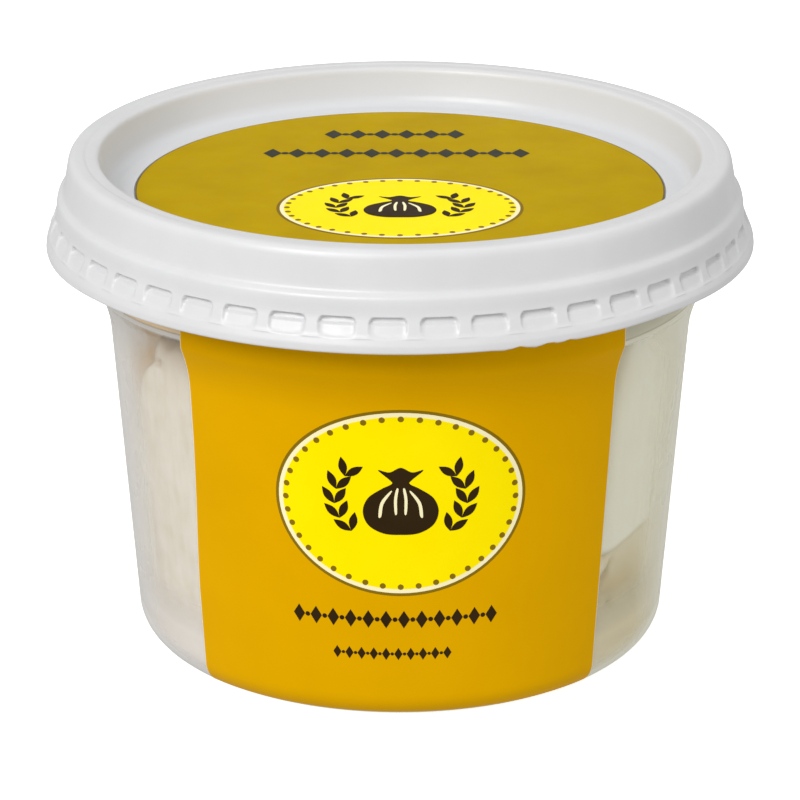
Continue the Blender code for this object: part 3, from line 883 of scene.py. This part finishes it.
# %% Draw the rows
def motif_row(centre, length, size, pitch):
    """A row of upright lozenges with a dot between each pair."""
    count = max(2, round(length / pitch))
    shapes = []
    for k in range(count):
        x = centre[0] + (k - (count - 1) / 2) * pitch
        half = size / 2
        tip = [(x, centre[1] + half), (x - half * 0.62, centre[1])]
        shapes.append(tip + [(x, centre[1] - half), (x + half * 0.62, centre[1])])
        if k < count - 1:
            shapes.append(oval(size * 0.26, size * 0.26, (x + pitch / 2, centre[1]), 12))
    return shapes


rows = motif_row((-0.7, 15.9), 30.3, 2.7, 2.5) + motif_row((-1.1, 10.6), 16.7, 1.9, 1.75)
ink_piece("front_motif_rows", rows, 0.08, on_front, dark_brown, "label")
lid_ink = printed_ink("dark_ink_on_lid_film", "#33332A", "#3D3C32", 0.38)
rows = motif_row((-0.8, 25.4), 21.3, 4.4, 3.6) + motif_row((-0.5, 15.8), 41.0, 4.4, 3.6)
ink_piece("lid_motif_rows", rows, 0.03, on_lid, lid_ink, "lid_label")

# %% [markdown]
# ## Back of the pack
# The back has a quiet panel, as most packs do: a cream field with ruled lines and a block
# of fine bars. It uses the same inks as the front.

# %% Draw the back panel
def bar(x, y, width, height):
    """An upright rectangle given by its centre."""
    w, h = width / 2, height / 2
    return [(x - w, y - h), (x + w, y - h), (x + w, y + h), (x - w, y + h)]


ink_piece("back_panel", [bar(0.0, 31.0, 42.0, 30.0)], 0.08, on_back, cream, "label")
ruled = [bar(-6.0, 43.0 - 2.6 * k, 26.0 - (k % 3) * 4.0, 0.5) for k in range(10)]
fine = [bar(10.5 + 0.75 * k, 22.5, 0.25 + 0.12 * (k * 7 % 4), 8.0) for k in range(12)]
ink_piece("back_ruling", ruled + fine, 0.10, on_back, dark_brown, "label")

# %% [markdown]
# ## Fresh cheese
# A burrata is a pouch of stretched curd. Stretching draws the curd into fibres, so its skin has
# faint vertical lines and a wet, porcelain gloss, and light sinks a few millimetres in. What
# lies further behind the wall is seen through more cloudy liquid. A cloudy volume is slow
# to render, so the finish itself grows browner and darker with the distance between skin and
# wall: a tint for the liquid in front, and painted shade in the hollows, in the folds and under
# the pouch's flank, weaker near the floor. It is browner most of all near the knot on the left,
# where tan whey is smeared between the folds. The skin there is patchy and a little pink. On the
# right it is smooth and creamier, and it is also painted lighter than the left, to make up for
# the weaker light on that side.

# %% Finish of the cheese
TOUCHING = 0.4
FAR_BEHIND = 1.5
curd, tree, surface = new_finish("stretched_curd")
place = add(tree, "TexCoord").outputs["Object"]
axes = add(tree, "SeparateXYZ", {"Vector": place}).outputs
reach = axis_distance(tree, place)
inner_cone = {0: axes["Z"], 1: CONE_SLOPE, 2: (CONE_RADIUS - WALL) * MM}
cone = add(tree, "Math", inner_cone, operation="MULTIPLY_ADD").outputs["Value"]
gap = add(tree, "Math", {0: cone, 1: reach}, operation="SUBTRACT").outputs["Value"]
# Painted shade and whey tint: browner and darker where the skin leaves the wall, less near the floor.
deep = spread(tree, gap, 0.0, 1.0, TOUCHING * MM, FAR_BEHIND * MM)
fade = spread(tree, axes["Z"], 0.3, 1.0, 4.0 * MM, 13.0 * MM)
deep = add(tree, "Math", {0: deep, 1: fade}, operation="MULTIPLY").outputs["Value"]
stretched = add(tree, "Mapping", {"Vector": place, "Scale": (1.0, 1.0, 0.18)}).outputs["Vector"]
fibre = speckle(tree, stretched, 1.6, 5.0)
cloud = add(tree, "Math", {0: fibre, 1: speckle(tree, place, 3.0)}, operation="ADD").outputs["Value"]
cloud = spread(tree, cloud, 0.0, 1.0, 0.75, 1.25)
# Partly painted light: the right's skin is creamier and also lighter, making up for weaker light.
toward_right = spread(tree, axes["X"], 0.0, 1.0, -30.0 * MM, 30.0 * MM)
tones = {"Factor": toward_right, "A": linear("#EAE5DE"), "B": linear("#FDFDF0")}
skin = add(tree, "Mix", tones, data_type="RGBA").outputs["Result"]
patchy = spread(tree, toward_right, 0.50, 0.12, 0.0, 1.0)
patches = spread(tree, cloud, patchy, 0.0, 0.0, 1.0)
tones = {"Factor": patches, "A": skin, "B": linear("#D0C6B0")}
mottled = add(tree, "Mix", tones, data_type="RGBA").outputs["Result"]
high = spread(tree, axes["Z"], 0.0, 1.0, 36.0 * MM, 46.0 * MM)
outer = spread(tree, axes["X"], 1.0, 0.55, -35.0 * MM, -33.0 * MM)
smear = add(tree, "Math", {0: high, 1: outer}, operation="MULTIPLY").outputs["Value"]
tones = {"Factor": smear, "A": linear("#DCD2C6"), "B": linear("#BCA07A")}
smeared = add(tree, "Mix", tones, data_type="RGBA").outputs["Result"]
tones = {"Factor": toward_right, "A": smeared, "B": linear("#DACAA2")}
far_curd = add(tree, "Mix", tones, data_type="RGBA").outputs["Result"]
tones = {"Factor": deep, "A": mottled, "B": far_curd}
veiled = add(tree, "Mix", tones, data_type="RGBA").outputs["Result"]
ripple = add(tree, "Bump", {"Strength": 0.06, "Distance": 0.3 * MM, "Height": fibre})
shade = add(
    tree,
    "BsdfPrincipled",
    {
        "Base Color": veiled,
        "Roughness": spread(tree, cloud, 0.30, 0.42, 0.0, 1.0),
        "IOR": 1.44,
        "Subsurface Weight": 0.25,
        "Subsurface Radius": (1.0, 0.85, 0.6),
        "Subsurface Scale": 2.0 * MM,
        "Normal": ripple.outputs["Normal"],
    },
)
tree.links.new(shade.outputs["BSDF"], surface.inputs["Surface"])
print(curd.name, "has", len(tree.nodes), "nodes")

# %% [markdown]
# ## Where the skin leaves the wall
# The pouch fills the tub, so most of its skin lies flat on the wall, and its form shows only where
# the skin stands off: beyond an edge on the left, below one on the right, and at a few folds. Two
# functions turn short lists of places into a depth.

# %% Hollows and folds of the skin
# The left edge of the stretch that touches the wall: azimuth in degrees, height in mm.
LEFT_EDGE = [
    (-90.0, 29.0), (-67.0, 31.5), (-67.5, 35.6), (-66.0, 39.0), (-64.5, 41.8), (-61.8, 44.4),
    (-58.3, 46.2), (-57.2, 47.2), (-57.0, 54.0),
]
# Folds of skin that stand off the wall: azimuth, height, half width and half height, lean, depth.
POCKETS_OF_WHEY = [
    (-53.2, 50.2, 0.5, 0.9, 0.1, 1.5),
    (-59.5, 48.9, 1.0, 2.2, 0.3, 1.4),
    (-56.5, 46.8, 0.45, 0.45, 0.3, 1.6),
    (47.5, 19.2, 1.4, 0.35, -0.5, 1.2),
    (50.5, 15.6, 0.35, 1.6, 0.5, 1.6),
    (48.0, 15.2, 1.6, 0.35, -0.6, 1.2),
    (53.5, 10.0, 0.35, 1.6, -0.5, 1.4),
    (67.5, 24.5, 0.3, 2.6, 0.0, 0.7),
]


def hollow(azimuth, height):
    """How far the skin stands off the wall, in mm, beside the stretch that touches it."""
    # On the left it drops 0.8 mm within 1.3 degrees of the edge, and 0.3 mm more over 12 degrees.
    edge = float(np.interp(height, [z for _, z in LEFT_EDGE], [a for a, _ in LEFT_EDGE]))
    left = 0.8 * eased((edge - azimuth) / 1.3) + 0.3 * eased((edge - azimuth) / 12.0)
    left *= eased((height - 29.0) / 3.0) * eased((azimuth + 150.0) / 20.0)
    # On the right it does so below a slanting edge, and comes half-way back further round.
    foot = min(21.2, 19.5 + 0.12 * (azimuth - 46.0))
    right = 0.7 * eased((foot - height) / 0.9) + 0.5 * eased((foot - height) / 8.0)
    right *= eased((azimuth - 25.0) / 15.0) * eased((150.0 - azimuth) / 20.0)
    right *= 1.0 - 0.55 * eased((azimuth - 58.0) / 22.0)
    right *= 1.0 - 0.7 * math.exp(-(((azimuth - 47.0) / 2.6) ** 2) - ((height - 17.2) / 1.3) ** 2)
    return left + right


def folds(azimuth, height):
    """The extra depth of the small pockets of whey between folds."""
    total = 0.0
    for centre, level, half_width, half_height, lean, depth in POCKETS_OF_WHEY:
        up = height - level
        across = (azimuth - centre) * 0.7 - lean * up
        total += depth * math.exp(-((across / half_width) ** 2) - (up / half_height) ** 2)
    return total


print("skin off the wall at the lower right, mm:", round(hollow(60.0, 12.0), 2))

# %% [markdown]
# ## Burrata
# The pouch is a flattened ball with pleats that deepen towards its neck. It is tipped to the left,
# then pressed against the floor and the wall, where it flattens as soft curd does, and hollowed
# last. Close rows of points let the pleats and the frill of the knot show.

# %% Shape the pouch
# Lengths in mm. A small fullness gives a blunt side, and a high squareness a boxy plan.
POUCH_RADIUS = 45.0
POUCH_HALF_HEIGHT = 26.0
POUCH_FULLNESS = 0.14
POUCH_OVAL = 0.68
POUCH_SQUARENESS = 3.1
POUCH_CENTRE = Vector((-0.2, -0.9, 28.2))
POUCH_TILT = Matrix.Rotation(math.radians(-3.0), 3, "Y")
POUCH_WALL_INSET = 0.9
TUB_FLOOR = 2.15
SOFTNESS = 2.0
# The knot from its neck to its frill: radius, height and pleating.
KNOT = [(13.0, 27.2, 1.0), (4.6, 28.8, 1.0), (6.1, 29.9, 1.6), (7.6, 31.0, 2.2), (4.2, 32.4, 1.0)]


def held_back(value, limit, softness):
    """Lets a value rise freely and levels it off smoothly just below the limit."""
    start = limit - softness
    if value <= start:
        return value
    return start + softness * (1.0 - math.exp(-(value - start) / softness))


def plan_share(angle):
    """The pouch's reach in a direction, seen from above: a rounded oblong, longest along X."""
    along = abs(math.cos(angle)) ** POUCH_SQUARENESS
    across = abs(math.sin(angle) / POUCH_OVAL) ** POUCH_SQUARENESS
    return (along + across) ** (-1.0 / POUCH_SQUARENESS)


def pouch_point(radius, height, pleating, oblong, angle):
    """A point of the cheese's skin: pleated, tipped over, pressed to floor and wall, then hollowed."""
    # Nine deep pleats, two slow swellings, and fine pleats on top.
    drift = 1.3 * math.sin(2 * angle)
    out = radius * (1.0 + oblong * (plan_share(angle) - 1.0))
    out *= 1.0 + 0.06 * pleating * math.cos(9 * angle + drift)
    out *= 1.0 + 0.018 * math.sin(2 * angle + 0.6)
    out *= 1.0 + 0.012 * math.sin(3 * angle + 2.0)
    out *= 1.0 + 0.004 * pleating * math.cos(23 * angle + 2.0 * math.sin(3 * angle))
    point = POUCH_TILT @ Vector((out * math.cos(angle), out * math.sin(angle), height)) + POUCH_CENTRE
    point.z = -held_back(-point.z, -TUB_FLOOR, SOFTNESS)
    across = math.hypot(point.x, point.y)
    held = held_back(across, wall_radius(point.z) - POUCH_WALL_INSET, SOFTNESS)
    azimuth = math.degrees(math.atan2(point.x, -point.y))
    held -= (hollow(azimuth, point.z) + folds(azimuth, point.z)) * eased((across - 18.0) / 15.0)
    return Vector((point.x * held / across, point.y * held / across, point.z)) * MM


def pouch_rows(count=110):
    """Radius, height, pleating and oblongness along the pouch, from its underside to its knot."""
    rows = []
    for i in range(count + 1):
        share = i / count
        angle = math.radians(-89.0 + 173.0 * share)
        radius = POUCH_RADIUS * math.cos(angle) ** POUCH_FULLNESS
        height = POUCH_HALF_HEIGHT * math.sin(angle)
        rows.append((radius, height, max(0.0, share - 0.45) / 0.55, 1.0))
    last = rows[-1]
    for target in KNOT:
        for k in range(1, 7):
            rows.append(tuple(a + (b - a) * k / 6 for a, b in zip(last, (*target, 0.0))))
        last = (*target, 0.0)
    rows.append((0.05, 32.0, 0.0, 0.0))
    return rows


def pouch(name, finish):
    """The whole skin as rings of points, with a cap at each end."""
    columns = 288
    bm = bmesh.new()
    rings = []
    for row in pouch_rows():
        angles = [math.tau * k / columns for k in range(columns)]
        rings.append([bm.verts.new(pouch_point(*row, angle)) for angle in angles])
    for lower, upper in zip(rings, rings[1:]):
        for i in range(columns):
            j = (i + 1) % columns
            bm.faces.new((lower[i], lower[j], upper[j], upper[i]))
    bm.faces.new(rings[0][::-1])
    bm.faces.new(rings[-1])
    return finished(bm, name, finish, 70.0)


burrata = pouch("burrata_pouch", curd)
place_piece(burrata, "cheese", "burrata")

# %% [markdown]
# ## Whey
# Whey is what the cheese swims in: water with a little protein and fat, which scatter light, so it
# looks like thin, yellowish milk. Fine curd settles out of it, so near the base it hides what is
# behind it.

# %% Finish of the whey
SETTLED_TOP = 15.0
whey_cloud, tree, surface = new_finish("cloudy_whey")
place = add(tree, "TexCoord").outputs["Object"]
slope = add(tree, "LayerWeight", {"Blend": 0.3}).outputs["Facing"]
axes = add(tree, "SeparateXYZ", {"Vector": place}).outputs
veil = spread(tree, slope, 0.08, 0.34, 0.4, 0.95)
low = spread(tree, axes["Z"], 0.80, 0.0, 7.0 * MM, SETTLED_TOP * MM)
veil = add(tree, "Math", {0: veil, 1: low}, operation="MAXIMUM").outputs["Value"]
swirl = spread(tree, speckle(tree, place, 12.0), -0.03, 0.03)
share = add(tree, "Math", {0: veil, 1: swirl}, operation="ADD", use_clamp=True).outputs["Value"]
yellower = spread(tree, axes["X"], 0.0, 1.0, -30.0 * MM, 30.0 * MM)
tones = {"Factor": yellower, "A": linear("#F0E9E2"), "B": linear("#F7F3DA")}
thin = add(tree, "Mix", tones, data_type="RGBA").outputs["Result"]
tones = {"Factor": yellower, "A": linear("#EDE6DF"), "B": linear("#E8DAB6")}
settled = add(tree, "Mix", tones, data_type="RGBA").outputs["Result"]
tones = {"Factor": low, "A": thin, "B": settled}
tone = add(tree, "Mix", tones, data_type="RGBA").outputs["Result"]
shade = add(
    tree,
    "BsdfPrincipled",
    {"Base Color": tone, "Roughness": 0.12, "IOR": 1.34, "Specular IOR Level": 0.12},
)
see_through = add(tree, "BsdfTransparent", {"Color": linear("#FEFDFB")})
mixed = add(tree, "MixShader", {"Fac": share, 1: see_through.outputs[0], 2: shade.outputs[0]})
tree.links.new(mixed.outputs["Shader"], surface.inputs["Surface"])
print(whey_cloud.name, "has", len(tree.nodes), "nodes")

# %% [markdown]
# ## Body of liquid
# Its outer skin reaches just into the tub's wall, because a gap of air there would show as a
# bright edge. Its top climbs the wall in a small meniscus.

# %% Shape of the whey
WHEY_LEVEL = 54.0
INTO_WALL = 0.05
MENISCUS = 0.6
whey_side = wall_line(-WALL + INTO_WALL, WHEY_LEVEL + MENISCUS)[::-1]
whey_top = [(0.0, 0.0), (37.0, 0.0), (40.5, 0.05), (41.5, 0.22)]
whey_top = [(radius, WHEY_LEVEL + rise) for radius, rise in whey_top]
whey_line = whey_top + whey_side + [(0.0, WALL - INTO_WALL)]
whey = turned("cloudy_whey", whey_line, tub_angles, whey_cloud)
place_piece(whey, "whey", "whey")
